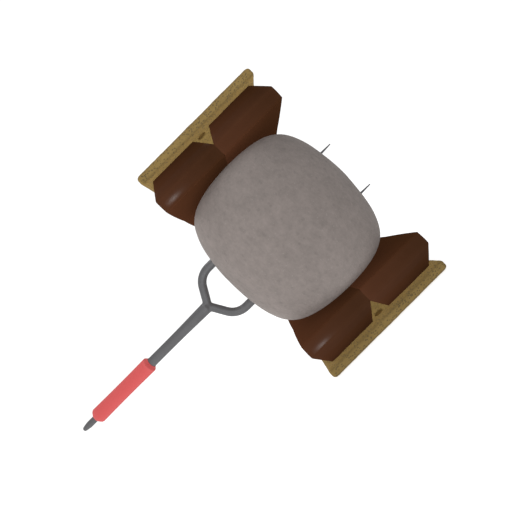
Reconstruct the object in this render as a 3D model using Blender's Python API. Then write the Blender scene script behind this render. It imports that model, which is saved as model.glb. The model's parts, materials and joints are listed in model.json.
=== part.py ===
"""A s'more held on a two-pronged toasting fork: two square crackers, eight chocolate squares and one
large marshmallow, stacked upright, with the fork lying level through the marshmallow.

The stack stands on its bottom cracker. Z is up, with zero at the underside of that cracker. X runs
along the fork, with the points of the prongs towards +X. Y goes through the stack from front to back.
X is zero at the middle of the whole length, so the stack itself stands a little way along +X.
"""

import math

import bmesh
import bpy
from mathutils import Matrix, Vector

# Driving dimensions, in metres. Every X value is counted from the middle of the stack.
GAP = 0.0003

CRACKER_SIDE = 0.064
CRACKER_THICKNESS = 0.0043
CRACKER_CORNER_RADIUS = 0.003
CRACKER_EDGE_RADIUS = 0.0014
DOCKING_HOLE_PITCH = 0.0245
DOCKING_HOLE_RADIUS = 0.0022

CHOCOLATE_PAIR_WIDTH = 0.066
CHOCOLATE_HEIGHT = 0.0152
CHOCOLATE_WALL_HEIGHT = 0.0063
CHOCOLATE_BEVEL_INSET = 0.005
CHOCOLATE_EDGE_RADIUS = 0.0005

MARSHMALLOW_RADIUS = 0.0385
MARSHMALLOW_HALF_HEIGHT = 0.0381
MARSHMALLOW_END_POWER = 2.0
MARSHMALLOW_SIDE_POWER = 6.2

PRONG_RADIUS = 0.00225
PRONG_ROOT_RADIUS = 0.0019
PRONG_TIP_RADIUS = 0.0002
PRONG_TIP_X = 0.0463
PRONG_TAPER_X = 0.0223
PRONG_SPLAY = math.radians(0.35)
YOKE_X = -0.057
YOKE_ANGLE = math.radians(60)
YOKE_INNER_BEND = 0.0035
YOKE_STRAIGHT = 0.008
YOKE_OUTER_BEND = 0.010

ROD_RADIUS = 0.0024
ROD_NECK_RADIUS = 0.0031
ROD_NECK_X = -0.0562
ROD_NECK_LENGTH = 0.026
ROD_FLARE_POWER = 1.6
ROD_END_X = -0.0538
BUTT_RADIUS = 0.0017
BUTT_TIP_RADIUS = 0.00125
BUTT_X = -0.1428

HANDLE_FRONT_X = -0.0956
HANDLE_BACK_X = -0.1347
HANDLE_END_RADIUS = 0.00385
HANDLE_WAIST_RADIUS = 0.0037
HANDLE_CHAMFER = 0.001
HANDLE_CAP_THICKNESS = 0.0018

# Heights in the stack, from the table up.
BASE_CHOCOLATE_Z = CRACKER_THICKNESS + GAP
BASE_MARSHMALLOW_Z = BASE_CHOCOLATE_Z + CHOCOLATE_HEIGHT + GAP
MIDDLE_Z = BASE_MARSHMALLOW_Z + MARSHMALLOW_HALF_HEIGHT
STACK_HEIGHT = 2 * MIDDLE_Z
STACK_X = -(PRONG_TIP_X + BUTT_X) / 2

# How finely the round shapes are divided.
CORNER_STEPS = 6
HOLE_SIDES = 16
MARSHMALLOW_SIDES = 48
MARSHMALLOW_RINGS = 28
FORK_SIDES = 16
HANDLE_SIDES = 24
BEND_STEPS = 8
CREASE_ANGLE = math.radians(35)

# Colour (linear red, green and blue), roughness and metallic value of each material.
FINISHES = {
    "baked_cracker": ((0.236, 0.161, 0.052), 0.85, 0.0),
    "milk_chocolate": ((0.070, 0.024, 0.011), 0.30, 0.0),
    "toasted_marshmallow": ((0.262, 0.228, 0.216), 0.90, 0.0),
    "fork_steel": ((0.150, 0.150, 0.155), 0.45, 0.9),
    "red_handle": ((0.740, 0.140, 0.140), 0.50, 0.0),
}


def clear_scene():
    for old in list(bpy.data.objects):
        bpy.data.objects.remove(old, do_unlink=True)


def add_stack_origin():
    """The empty that every piece hangs from, on the stack's own axis."""
    origin = bpy.data.objects.new("smore", None)
    origin.location.x = STACK_X
    bpy.context.scene.collection.objects.link(origin)


def make_material(name):
    colour, roughness, metallic = FINISHES[name]
    material = bpy.data.materials.new(name)
    material.use_nodes = True
    material.diffuse_color = (*colour, 1.0)
    shader = material.node_tree.nodes["Principled BSDF"]
    shader.inputs["Base Color"].default_value = (*colour, 1.0)
    shader.inputs["Roughness"].default_value = roughness
    shader.inputs["Metallic"].default_value = metallic
    return material


def add_object(name, shape, material):
    """Turn a bmesh into a named object of the stack, with smooth rounds and crisp edges."""
    bmesh.ops.recalc_face_normals(shape, faces=shape.faces)
    mesh = bpy.data.meshes.new(name)
    shape.to_mesh(mesh)
    shape.free()
    mesh.shade_smooth()
    mesh.set_sharp_from_angle(angle=CREASE_ANGLE)
    part = bpy.data.objects.new(name, mesh)
    part.parent = bpy.data.objects["smore"]
    bpy.context.scene.collection.objects.link(part)
    if material:
        mesh.materials.append(material)
    return part


def add_helper(name, shape):
    """A hidden shape that only cuts or joins another one."""
    helper = add_object(name, shape, None)
    helper.hide_render = True
    helper.display_type = "WIRE"
    return helper


def add_boolean(part, helper, operation):
    step = part.modifiers.new(helper.name, "BOOLEAN")
    step.operation = operation
    step.solver = "EXACT"
    step.object = helper


def add_bevel(part, width, segments):
    rounding = part.modifiers.new("edge_rounding", "BEVEL")
    rounding.width = width
    rounding.segments = segments
    rounding.limit_method = "ANGLE"
    rounding.angle_limit = CREASE_ANGLE


def bridge_rings(shape, rings):
    """Join rings of vertices into one closed skin, with a flat cap on each end."""
    for ring, following in zip(rings, rings[1:]):
        for index in range(len(ring)):
            after = (index + 1) % len(ring)
            shape.faces.new((ring[index], ring[after], following[after], following[index]))
    shape.faces.new(reversed(rings[0]))
    shape.faces.new(rings[-1])


def tube(path, radii, sides):
    """A round bar that follows a path lying in the XZ plane."""
    shape = bmesh.new()
    rings = []
    for index, (point, radius) in enumerate(zip(path, radii)):
        before = path[max(index - 1, 0)]
        after = path[min(index + 1, len(path) - 1)]
        heading = (after - before).normalized()
        across = Vector((-heading.z, 0.0, heading.x))
        ring = []
        for side in range(sides):
            turn = math.tau * side / sides
            offset = across * math.cos(turn) + Vector((0.0, 1.0, 0.0)) * math.sin(turn)
            ring.append(shape.verts.new(point + offset * radius))
        rings.append(ring)
    bridge_rings(shape, rings)
    return shape


def rounded_square(side, corner_radius):
    """The outline of a square with round corners, counterclockwise, centred on the origin."""
    reach = side / 2 - corner_radius
    outline = []
    for quarter in range(4):
        centre = Matrix.Rotation(quarter * math.pi / 2, 2) @ Vector((reach, reach))
        for step in range(CORNER_STEPS + 1):
            turn = (quarter + step / CORNER_STEPS) * math.pi / 2
            outline.append(centre + corner_radius * Vector((math.cos(turn), math.sin(turn))))
    return outline


def cracker_shape(low_z):
    """A square slab with round corners and softly rounded rims."""
    shape = bmesh.new()
    levels = []
    for step in range(CORNER_STEPS + 1):
        turn = math.pi / 2 * step / CORNER_STEPS
        inset = CRACKER_EDGE_RADIUS * (1 - math.sin(turn))
        rise = CRACKER_EDGE_RADIUS * (1 - math.cos(turn))
        levels.append((rise, inset))
    for rise, inset in reversed(levels.copy()):
        levels.append((CRACKER_THICKNESS - rise, inset))
    rings = []
    for height, inset in levels:
        outline = rounded_square(CRACKER_SIDE - 2 * inset, CRACKER_CORNER_RADIUS - inset)
        rings.append([shape.verts.new((x, y, low_z + height)) for x, y in outline])
    bridge_rings(shape, rings)
    return shape


def docking_holes_shape(low_z):
    """The nine pricked holes of one cracker, as pins that reach past both of its faces."""
    shape = bmesh.new()
    for column in (-1, 0, 1):
        for row in (-1, 0, 1):
            centre = Vector((column, row, 0.0)) * DOCKING_HOLE_PITCH
            centre.z = low_z + CRACKER_THICKNESS / 2
            bmesh.ops.create_cone(
                shape,
                cap_ends=True,
                segments=HOLE_SIDES,
                radius1=DOCKING_HOLE_RADIUS,
                radius2=DOCKING_HOLE_RADIUS,
                depth=2 * CRACKER_THICKNESS,
                matrix=Matrix.Translation(centre),
            )
    return shape


def make_cracker(name, low_z, material):
    cracker = add_object(name, cracker_shape(low_z), material)
    pins = add_helper(name + "_pins", docking_holes_shape(low_z))
    add_boolean(cracker, pins, "DIFFERENCE")


def chocolate_shape(centre_x, centre_y, base_z, rise):
    """One square of chocolate: upright walls off a flat base, then four slopes to a smaller flat top.

    rise is +1 where the base is underneath and -1 where the square hangs upside down.
    """
    half = (CHOCOLATE_PAIR_WIDTH / 2 - GAP / 2) / 2
    levels = (
        (0.0, half),
        (CHOCOLATE_WALL_HEIGHT, half),
        (CHOCOLATE_HEIGHT, half - CHOCOLATE_BEVEL_INSET),
    )
    shape = bmesh.new()
    rings = []
    for height, reach in levels:
        ring = []
        for quarter in range(4):
            turn = (quarter + 0.5) * math.pi / 2
            x = centre_x + reach * math.sqrt(2) * math.cos(turn)
            y = centre_y + reach * math.sqrt(2) * math.sin(turn)
            ring.append(shape.verts.new((x, y, base_z + rise * height)))
        rings.append(ring)
    bridge_rings(shape, rings)
    return shape


def make_chocolate_layer(layer, base_z, rise, material):
    """Four squares side by side, with their flat bases against the marshmallow."""
    offset = (CHOCOLATE_PAIR_WIDTH / 2 + GAP / 2) / 2
    for end, x_sign in (("prong", 1), ("handle", -1)):
        for side, y_sign in (("front", -1), ("back", 1)):
            shape = chocolate_shape(x_sign * offset, y_sign * offset, base_z, rise)
            square = add_object(f"chocolate_{layer}_{end}_{side}", shape, material)
            add_bevel(square, CHOCOLATE_EDGE_RADIUS, 2)


def marshmallow_shape():
    """A plump drum: flat where it is pressed, swelling to full width halfway up."""
    shape = bmesh.new()
    rings = []
    for step in range(1, MARSHMALLOW_RINGS):
        turn = math.pi * step / MARSHMALLOW_RINGS
        height = -MARSHMALLOW_HALF_HEIGHT * math.cos(turn)
        share = abs(height / MARSHMALLOW_HALF_HEIGHT) ** MARSHMALLOW_END_POWER
        radius = MARSHMALLOW_RADIUS * (1 - share) ** (1 / MARSHMALLOW_SIDE_POWER)
        ring = []
        for side in range(MARSHMALLOW_SIDES):
            around = math.tau * side / MARSHMALLOW_SIDES
            place = (radius * math.cos(around), radius * math.sin(around), MIDDLE_Z + height)
            ring.append(shape.verts.new(place))
        rings.append(ring)
    bridge_rings(shape, rings)
    return shape


def prong_path(up):
    """Middle line of one prong from the yoke to its point; up is +1 for the upper one."""
    here = Vector((YOKE_X, 0.0, 0.0))
    path = [here.copy()]
    runs = (
        (YOKE_INNER_BEND, YOKE_ANGLE),
        (None, YOKE_STRAIGHT),
        (YOKE_OUTER_BEND, PRONG_SPLAY - YOKE_ANGLE),
    )
    heading = 0.0
    for bend_radius, amount in runs:
        if bend_radius is None:
            here += amount * Vector((math.cos(heading), 0.0, math.sin(heading)))
            path.append(here.copy())
            continue
        for _ in range(BEND_STEPS):
            turn = amount / BEND_STEPS
            chord = 2 * bend_radius * math.sin(abs(turn) / 2)
            middle = heading + turn / 2
            here += chord * Vector((math.cos(middle), 0.0, math.sin(middle)))
            heading += turn
            path.append(here.copy())
    for end_x in (PRONG_TAPER_X, PRONG_TIP_X):
        run = (end_x - here.x) / math.cos(heading)
        here += run * Vector((math.cos(heading), 0.0, math.sin(heading)))
        path.append(here.copy())
    return [Vector((point.x, 0.0, MIDDLE_Z + up * point.z)) for point in path]


def prong_radii(path, extra=0.0):
    """Slightly slimmer at the yoke, even along the middle and tapered to the point."""
    radii = []
    for index, point in enumerate(path):
        if index <= BEND_STEPS:
            radius = PRONG_ROOT_RADIUS
        elif point.x <= PRONG_TAPER_X + GAP:
            radius = PRONG_RADIUS
        else:
            radius = PRONG_TIP_RADIUS
        radii.append(radius + extra)
    return radii


def make_marshmallow(material):
    marshmallow = add_object("marshmallow", marshmallow_shape(), material)
    for name, up in (("upper_channel", 1), ("lower_channel", -1)):
        path = prong_path(up)
        channel = add_helper(name, tube(path, prong_radii(path, GAP), FORK_SIDES))
        add_boolean(marshmallow, channel, "DIFFERENCE")


def rod_profile():
    """Distance along the fork and radius of its straight rod, from the butt to the yoke."""
    handle_inner_back = HANDLE_BACK_X + HANDLE_CAP_THICKNESS + GAP
    profile = [
        (BUTT_X, BUTT_TIP_RADIUS * 0.5),
        (BUTT_X + 0.0006, BUTT_TIP_RADIUS),
        (BUTT_X + 0.0036, BUTT_RADIUS),
        (handle_inner_back, BUTT_RADIUS),
        (handle_inner_back + 0.0006, ROD_RADIUS),
    ]
    for step in range(BEND_STEPS + 1):
        share = step / BEND_STEPS
        radius = ROD_RADIUS + (ROD_NECK_RADIUS - ROD_RADIUS) * share**ROD_FLARE_POWER
        profile.append((ROD_NECK_X - ROD_NECK_LENGTH * (1 - share), radius))
    for step in range(1, BEND_STEPS):
        turn = math.pi / 2 * step / BEND_STEPS
        x = ROD_NECK_X + (ROD_END_X - ROD_NECK_X) * math.sin(turn)
        profile.append((x, ROD_NECK_RADIUS * math.cos(turn)))
    return profile


def make_fork(material):
    profile = rod_profile()
    path = [Vector((x, 0.0, MIDDLE_Z)) for x, _ in profile]
    radii = [radius for _, radius in profile]
    fork = add_object("fork", tube(path, radii, FORK_SIDES), material)
    for name, up in (("upper_prong", 1), ("lower_prong", -1)):
        path = prong_path(up)
        prong = add_helper(name, tube(path, prong_radii(path), FORK_SIDES))
        add_boolean(fork, prong, "UNION")


def make_handle(material):
    """A turned sleeve over the rod, with bevelled ends and a closed back around the butt."""
    outer = [
        (HANDLE_FRONT_X, HANDLE_END_RADIUS - HANDLE_CHAMFER),
        (HANDLE_FRONT_X - HANDLE_CHAMFER, HANDLE_END_RADIUS),
        ((HANDLE_FRONT_X + HANDLE_BACK_X) / 2, HANDLE_WAIST_RADIUS),
        (HANDLE_BACK_X + HANDLE_CHAMFER, HANDLE_END_RADIUS),
        (HANDLE_BACK_X, HANDLE_END_RADIUS - HANDLE_CHAMFER),
    ]
    cap_x = HANDLE_BACK_X + HANDLE_CAP_THICKNESS
    inner = [
        (HANDLE_BACK_X, BUTT_RADIUS + GAP),
        (cap_x, BUTT_RADIUS + GAP),
        (cap_x, ROD_RADIUS + GAP),
        (HANDLE_FRONT_X, ROD_RADIUS + GAP),
    ]
    shape = bmesh.new()
    rings = []
    for x, radius in outer + inner:
        ring = []
        for side in range(HANDLE_SIDES):
            turn = math.tau * side / HANDLE_SIDES
            place = (x, radius * math.cos(turn), MIDDLE_Z + radius * math.sin(turn))
            ring.append(shape.verts.new(place))
        rings.append(ring)
    for ring, following in zip(rings, rings[1:] + rings[:1]):
        for index in range(HANDLE_SIDES):
            after = (index + 1) % HANDLE_SIDES
            shape.faces.new((ring[index], ring[after], following[after], following[index]))
    add_object("handle", shape, material)


def main():
    clear_scene()
    add_stack_origin()
    materials = {name: make_material(name) for name in FINISHES}
    make_cracker("cracker_bottom", 0.0, materials["baked_cracker"])
    make_cracker("cracker_top", STACK_HEIGHT - CRACKER_THICKNESS, materials["baked_cracker"])
    lower_base_z = BASE_CHOCOLATE_Z + CHOCOLATE_HEIGHT
    upper_base_z = STACK_HEIGHT - lower_base_z
    make_chocolate_layer("lower", lower_base_z, -1, materials["milk_chocolate"])
    make_chocolate_layer("upper", upper_base_z, 1, materials["milk_chocolate"])
    make_marshmallow(materials["toasted_marshmallow"])
    make_fork(materials["fork_steel"])
    make_handle(materials["red_handle"])


main()
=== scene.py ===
"""The looks of a s'more held on a toasting fork.

Two docked crackers, eight moulded chocolate squares, one marshmallow, the steel fork that runs through
it and the fork's red sleeve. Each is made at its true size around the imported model, which is loaded
first. X runs along the fork towards its points, and Z goes up the stack. Lengths are in metres.
"""

import json
import math

import bmesh
import bpy
from bpy.props import FloatProperty, FloatVectorProperty, IntProperty, PointerProperty
from mathutils import Matrix, Quaternion, Vector, noise
from mathutils.kdtree import KDTree

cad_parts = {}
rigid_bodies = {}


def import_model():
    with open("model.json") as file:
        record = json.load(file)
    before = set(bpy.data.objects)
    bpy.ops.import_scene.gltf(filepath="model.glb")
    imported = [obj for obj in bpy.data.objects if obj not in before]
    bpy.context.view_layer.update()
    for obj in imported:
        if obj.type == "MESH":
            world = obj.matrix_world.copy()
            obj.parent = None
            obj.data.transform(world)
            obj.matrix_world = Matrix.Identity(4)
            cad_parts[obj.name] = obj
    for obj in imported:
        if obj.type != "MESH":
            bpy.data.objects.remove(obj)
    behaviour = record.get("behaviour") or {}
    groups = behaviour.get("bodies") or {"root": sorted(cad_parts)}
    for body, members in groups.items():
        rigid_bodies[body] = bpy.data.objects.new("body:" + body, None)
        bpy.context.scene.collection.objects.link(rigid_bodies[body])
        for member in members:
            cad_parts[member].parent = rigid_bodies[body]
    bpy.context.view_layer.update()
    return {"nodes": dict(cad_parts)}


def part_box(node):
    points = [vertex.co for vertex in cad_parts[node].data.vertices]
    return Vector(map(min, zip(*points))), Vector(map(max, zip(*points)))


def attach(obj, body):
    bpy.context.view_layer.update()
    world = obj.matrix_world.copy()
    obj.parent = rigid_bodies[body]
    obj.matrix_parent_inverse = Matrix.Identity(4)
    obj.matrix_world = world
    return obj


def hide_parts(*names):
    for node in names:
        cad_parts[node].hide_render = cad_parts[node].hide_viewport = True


bl_info = {
    "name": "S'more on a Toasting Fork",
    "version": (1, 0, 0),
    "blender": (4, 5, 0),
    "location": "View3D > Sidebar > S'more",
    "description": "Makes the visible pieces of a s'more that is held on a toasting fork",
    "category": "Add Mesh",
}

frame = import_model()
MM = 0.001


def centre_of(node):
    """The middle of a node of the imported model."""
    low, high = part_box(node)
    return (low + high) / 2


def size_of(node):
    """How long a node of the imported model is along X, Y and Z."""
    low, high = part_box(node)
    return high - low


STACK_CENTRE = centre_of("marshmallow")

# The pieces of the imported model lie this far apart. The chocolate squares close the gap between them, and
# the marshmallow reaches most of the way over to the chocolate.
WORKING_GAP = 0.3 * MM
REACH_OVER = 0.25 * MM
# Points closer than this are one point.
JOIN_DISTANCE = 0.02 * MM
# Cloudy noise strays by half a unit to either side, so this makes it fill a height.
NOISE_FILL = 2.0


# Sizes and colours


def length(name, description, default):
    """A size in metres."""
    return FloatProperty(name=name, description=description, default=default, unit="LENGTH", precision=5)


def share(name, description, default):
    """A plain number, usually between 0 and 1."""
    return FloatProperty(name=name, description=description, default=default)


def angle(name, description, default):
    """An angle, given in degrees here and kept in radians."""
    return FloatProperty(name=name, description=description, default=math.radians(default), subtype="ANGLE")


def colour(name, description, default):
    """A linear colour."""
    return FloatVectorProperty(
        name=name, description=description, default=default, subtype="COLOR", size=3, min=0.0, max=1.0
    )


class CrackerLook(bpy.types.PropertyGroup):
    """Sizes and colours of the two crackers."""

    corner_radius: length("Corner Radius", "Round of each corner, seen from above", 1.2 * MM)
    edge_radius: length("Edge Radius", "Round of the rim between face and side", 1.8 * MM)
    spread: length("Spread", "How far each side has spread in the bake", 0.45 * MM)
    puff: length("Puff", "How far the inner face has puffed up against the chocolate", 0.8 * MM)
    hole_pitch: length("Hole Pitch", "Distance between docking holes", 25.4 * MM)
    hole_radius: length("Hole Radius", "Radius of a docking hole", 2.2 * MM)
    hole_dish: length("Hole Dish", "How far the face sinks towards a docking hole", 0.12 * MM)
    dish_spread: length("Dish Spread", "How far out from a hole the face is drawn down", 0.9 * MM)
    relief: length("Relief", "Height of the bumps that baking leaves", 0.16 * MM)
    crumb: colour("Crumb", "The plain baked crumb", (0.257, 0.174, 0.058))
    # The toasted colour also darkens the rounded rim, there partly as painted shade.
    toasted: colour("Toasted", "Where the bake is darker", (0.172, 0.112, 0.037))
    bran: colour("Bran", "Flecks of bran", (0.110, 0.077, 0.034))
    inside: colour("Inside", "The less baked walls of the docking holes", (0.270, 0.173, 0.055))
    seed: IntProperty(name="Seed", description="Picks the pattern of bumps", default=3)


class ChocolateLook(bpy.types.PropertyGroup):
    """Sizes and colours of the chocolate squares."""

    wall_height: length("Wall Height", "Height of the upright walls above the base", 6.3 * MM)
    slope_inset: length("Slope Inset", "How far each slope comes in from wall to top", 5.0 * MM)
    base_tuck: length("Base Tuck", "How far the walls draw in towards the base", 0.15 * MM)
    wall_swell: length("Wall Swell", "How far a wall stands out halfway up", 0.06 * MM)
    press: length("Press", "How far each square is pressed into the next", 0.10 * MM)
    side_bow: length("Side Bow", "How far a side stands out halfway along", 0.25 * MM)
    edge_radius: length("Edge Radius", "Round of the edges of top and base", 0.22 * MM)
    crease_radius: length("Crease Radius", "Round of the crease between wall and slope", 0.6 * MM)
    corner_radius: length("Corner Radius", "Round of the upright corners", 0.1 * MM)
    relief: length("Relief", "Height of the slight waves in the surface", 0.03 * MM)
    # The next two browns are painted light and shade: the lit end of each square near the handle and its
    # shaded far end.
    milk: colour("Milk", "The paler brown of the end nearer the handle", (0.0517, 0.0190, 0.0090))
    dark: colour("Dark", "The darker brown of the far end", (0.0305, 0.0118, 0.0048))
    bloom: colour("Bloom", "Rubbed edges", (0.100, 0.046, 0.024))
    seed: IntProperty(name="Seed", description="Picks the pattern of waves", default=5, min=1)


class MarshmallowLook(bpy.types.PropertyGroup):
    """Sizes and colours of the marshmallow."""

    end_power: share("End Power", "How flat the ends are: 2 is round", 2.0)
    side_power: share("Side Power", "How square the shoulders are", 6.2)
    lumps: length("Lumps", "Height of the broad lumps", 0.30 * MM)
    puckers: length("Puckers", "Height of the small puckers in the skin", 0.10 * MM)
    drag: length("Drag", "How far the skin is dragged along by a prong", 0.7 * MM)
    drag_spread: length("Drag Spread", "How far from a prong the skin is dragged", 3.2 * MM)
    skin: colour("Skin", "The floury skin", (0.274, 0.235, 0.218))
    # The shade colour also paints shade into the hollows of the puckers.
    shade: colour("Shade", "Blotches that took more heat", (0.178, 0.156, 0.144))
    flour: colour("Flour", "Specks of loose starch", (0.330, 0.295, 0.280))
    seed: IntProperty(name="Seed", description="Picks the pattern of lumps", default=11)


class ForkLook(bpy.types.PropertyGroup):
    """Sizes and colours of the fork and its sleeve. Distances along it count from the stack's middle."""

    prong_radius: length("Prong Radius", "Radius of a prong where it is even", 2.25 * MM)
    root_radius: length("Root Radius", "Radius of a prong where it leaves the rod", 2.2 * MM)
    tip_radius: length("Tip Radius", "Radius at the very point", 0.28 * MM)
    taper_length: length("Taper Length", "Length of the point", 36.0 * MM)
    splay: angle("Splay", "How far each prong leans out", 0.35)
    yoke_x: length("Yoke X", "Where the prongs part", -57.0 * MM)
    yoke_angle: angle("Yoke Angle", "How steeply the prongs part", 60.0)
    inner_bend: length("Inner Bend", "Bend radius at the rod", 3.5 * MM)
    yoke_straight: length("Yoke Straight", "Straight length between the bends", 8.0 * MM)
    outer_bend: length("Outer Bend", "Bend radius into the prong", 10.0 * MM)
    rod_radius: length("Rod Radius", "Radius of the rod", 2.6 * MM)
    neck_radius: length("Neck Radius", "Radius of the rod where it meets the yoke", 3.1 * MM)
    neck_length: length("Neck Length", "Length over which the rod thickens", 26.0 * MM)
    butt_reach: length("Butt Reach", "How much further back the butt comes than the packed one", 0.6 * MM)
    butt_radius: length("Butt Radius", "Radius of the end behind the sleeve", 1.7 * MM)
    butt_tip_radius: length("Butt Tip Radius", "Radius at the very end", 1.25 * MM)
    sleeve_chamfer: length("Sleeve Chamfer", "Bevel at each end of the sleeve", 1.5 * MM)
    sleeve_round: length("Sleeve Round", "Round of the edges of that bevel", 0.22 * MM)
    sleeve_shift: length("Sleeve Shift", "How much nearer the stack it sits than the packed one", 0.4 * MM)
    sleeve_swell: length("Sleeve Swell", "How much thicker the sleeve is than the packed one", 0.22 * MM)
    sleeve_waist: length("Sleeve Waist", "How much slimmer the sleeve is halfway", 0.15 * MM)
    steel: colour("Steel", "The dull steel", (0.218, 0.218, 0.226))
    tarnish: colour("Tarnish", "Where handling has darkened it", (0.162, 0.159, 0.162))
    red: colour("Red", "The sleeve", (0.725, 0.096, 0.096))
    worn_red: colour("Worn Red", "The sleeve where it is rubbed", (0.760, 0.170, 0.170))


# Trees of nodes


def label_of(name):
    """The label that a socket has for a plain name."""
    return name.replace("_", " ").title().replace("Ior", "IOR")


class Number:
    """A number that a tree works out. Arithmetic on it adds nodes to the tree."""

    def __init__(self, steps, socket):
        self.steps = steps
        self.socket = socket

    def __add__(self, other):
        return self.steps.number("ADD", self, other)

    def __sub__(self, other):
        return self.steps.number("SUBTRACT", self, other)

    def __rsub__(self, other):
        return self.steps.number("SUBTRACT", other, self)

    def __mul__(self, other):
        return self.steps.number("MULTIPLY", self, other)

    def __truediv__(self, other):
        return self.steps.number("DIVIDE", self, other)

    def __rtruediv__(self, other):
        return self.steps.number("DIVIDE", other, self)

    def __pow__(self, other):
        return self.steps.number("POWER", self, other)

    def __abs__(self):
        return self.steps.number("ABSOLUTE", self)

    def held(self):
        """The same number, held between 0 and 1."""
        self.socket.node.use_clamp = True
        return self


class Steps:
    """Adds nodes to one tree in order, so that a tree reads as a list of steps."""

    def __init__(self, tree):
        self.tree = tree

    def feed(self, socket, value):
        """Set an input to a plain value, or link it to what an earlier step gave."""
        if isinstance(value, Number):
            value = value.socket
        if isinstance(value, bpy.types.NodeSocket):
            self.tree.links.new(value, socket)
        else:
            socket.default_value = value

    def read(self, socket):
        """An output, as a Number where it is one."""
        return Number(self, socket) if socket.type == "VALUE" else socket

    def add(self, kind, inputs=None, **settings):
        """Add a node, with its settings and inputs."""
        node = self.tree.nodes.new(kind)
        node.location.x = 200 * len(self.tree.nodes)
        for name, value in settings.items():
            setattr(node, name, value)
        for key, value in (inputs or {}).items():
            self.feed(node.inputs[key], value)
        return node

    def take(self, kind, inputs=None, output=0, **settings):
        """Add a node and read one of its outputs."""
        return self.read(self.add(kind, inputs, **settings).outputs[output])

    def given(self):
        """The inputs of the tree, by their labels."""
        return {socket.name: self.read(socket) for socket in self.add("NodeGroupInput").outputs}

    def maths(self, kind, operation, values):
        """The outputs of a node that works on the values in turn."""
        node = self.add(kind, operation=operation)
        for socket, value in zip(node.inputs, values):
            self.feed(socket, value)
        return node.outputs

    def number(self, operation, *values):
        """A step of arithmetic on numbers."""
        return self.read(self.maths("ShaderNodeMath", operation, values)[0])

    def vector(self, operation, *values):
        """A step of arithmetic on vectors, which gives a number where it measures them."""
        measured = operation in ("DISTANCE", "LENGTH", "DOT_PRODUCT")
        outputs = self.maths("ShaderNodeVectorMath", operation, values)
        return self.read(outputs["Value" if measured else "Vector"])

    def scaled(self, vector, factor):
        """A vector times a number."""
        return self.take("ShaderNodeVectorMath", {"Vector": vector, "Scale": factor}, operation="SCALE")

    def split(self, vector):
        """The three numbers of a vector."""
        node = self.add("ShaderNodeSeparateXYZ", {"Vector": vector})
        return [self.read(socket) for socket in node.outputs]

    def join(self, x=0.0, y=0.0, z=0.0):
        """A vector made of three numbers."""
        return self.take("ShaderNodeCombineXYZ", {"X": x, "Y": y, "Z": z})

    def ramp(self, value, low, high, start=0.0, end=1.0, smooth=False):
        """Carry value from low..high over to start..end, and hold it there outside."""
        return self.take(
            "ShaderNodeMapRange",
            {"Value": value, "From Min": low, "From Max": high, "To Min": start, "To Max": end},
            interpolation_type="SMOOTHSTEP" if smooth else "LINEAR",
        )

    def bell(self, distance, spread):
        """1 at distance zero, falling away like a bell over the spread."""
        ratio = distance / spread
        return self.number("EXPONENT", ratio * ratio * -1.0)

    def noise(self, vector, size, detail=2.0, seed=0.0, roughness=0.5):
        """Cloudy noise whose blotches are about size across, centred on zero."""
        cloud = self.take(
            "ShaderNodeTexNoise",
            {"Vector": vector, "W": seed, "Scale": 1 / size, "Detail": detail, "Roughness": roughness},
            noise_dimensions="4D",
        )
        return cloud - 0.5

    def mix(self, factor, first, second, kind="RGBA"):
        """Go from the first colour, or number, to the second as the factor goes from 0 to 1."""
        node = self.add("ShaderNodeMix", {"Factor": factor}, data_type=kind)
        self.feed(self.live(node.inputs, "A"), first)
        self.feed(self.live(node.inputs, "B"), second)
        return self.read(self.live(node.outputs, "Result"))

    @staticmethod
    def live(sockets, name):
        """The socket of that name that the node's data type switches on."""
        return next(socket for socket in sockets if socket.name == name and socket.enabled)


def geometry_tree(name, numbers):
    """The steps and inputs of a Geometry Nodes tree that takes numbers, its centre and its material."""
    tree = bpy.data.node_groups.new(name, "GeometryNodeTree")
    kinds = dict.fromkeys(numbers, "NodeSocketFloat")
    kinds.update(centre="NodeSocketVector", material="NodeSocketMaterial")
    for number, kind in kinds.items():
        tree.interface.new_socket(name=label_of(number), in_out="INPUT", socket_type=kind)
    tree.interface.new_socket(name="Mesh", in_out="OUTPUT", socket_type="NodeSocketGeometry")
    steps = Steps(tree)
    return steps, steps.given()


def end_geometry_tree(steps, geometry, given):
    """Move the finished shape to its centre and give it its material."""
    moved = {"Geometry": geometry, "Translation": given["Centre"]}
    geometry = steps.take("GeometryNodeTransform", moved)
    geometry = steps.take("GeometryNodeSetShadeSmooth", {"Geometry": geometry})
    geometry = steps.take("GeometryNodeRealizeInstances", {"Geometry": geometry})
    coated = {"Geometry": geometry, "Material": given["Material"]}
    steps.add("NodeGroupOutput", {"Mesh": steps.take("GeometryNodeSetMaterial", coated)})
    return steps.tree


def mesh_from_tree(tree, name, values):
    """Run a Geometry Nodes tree once with its values, and return its result as a closed plain mesh."""
    carrier = bpy.data.objects.new(name + "_carrier", bpy.data.meshes.new(name + "_carrier"))
    bpy.context.scene.collection.objects.link(carrier)
    modifier = carrier.modifiers.new("shape", "NODES")
    modifier.node_group = tree
    labelled = {label_of(value_name): value for value_name, value in values.items()}
    for socket in tree.interface.items_tree:
        if socket.in_out == "INPUT":
            modifier[socket.identifier] = labelled[socket.name]
    carrier.update_tag()
    depsgraph = bpy.context.evaluated_depsgraph_get()
    mesh = bpy.data.meshes.new_from_object(carrier.evaluated_get(depsgraph))
    bpy.data.objects.remove(carrier)
    shape = bmesh.new()
    shape.from_mesh(mesh)
    bmesh.ops.recalc_face_normals(shape, faces=shape.faces)
    shape.to_mesh(mesh)
    shape.free()
    return mesh


def store(steps, geometry, name, value):
    """Keep a number for each point, for later steps and for the material."""
    return steps.take(
        "GeometryNodeStoreNamedAttribute",
        {"Geometry": geometry, "Name": name, "Value": value},
        data_type="FLOAT",
        domain="POINT",
    )


def recall(steps, name):
    """The number that was kept for each point."""
    return steps.take("GeometryNodeInputNamedAttribute", {"Name": name}, data_type="FLOAT")


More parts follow.
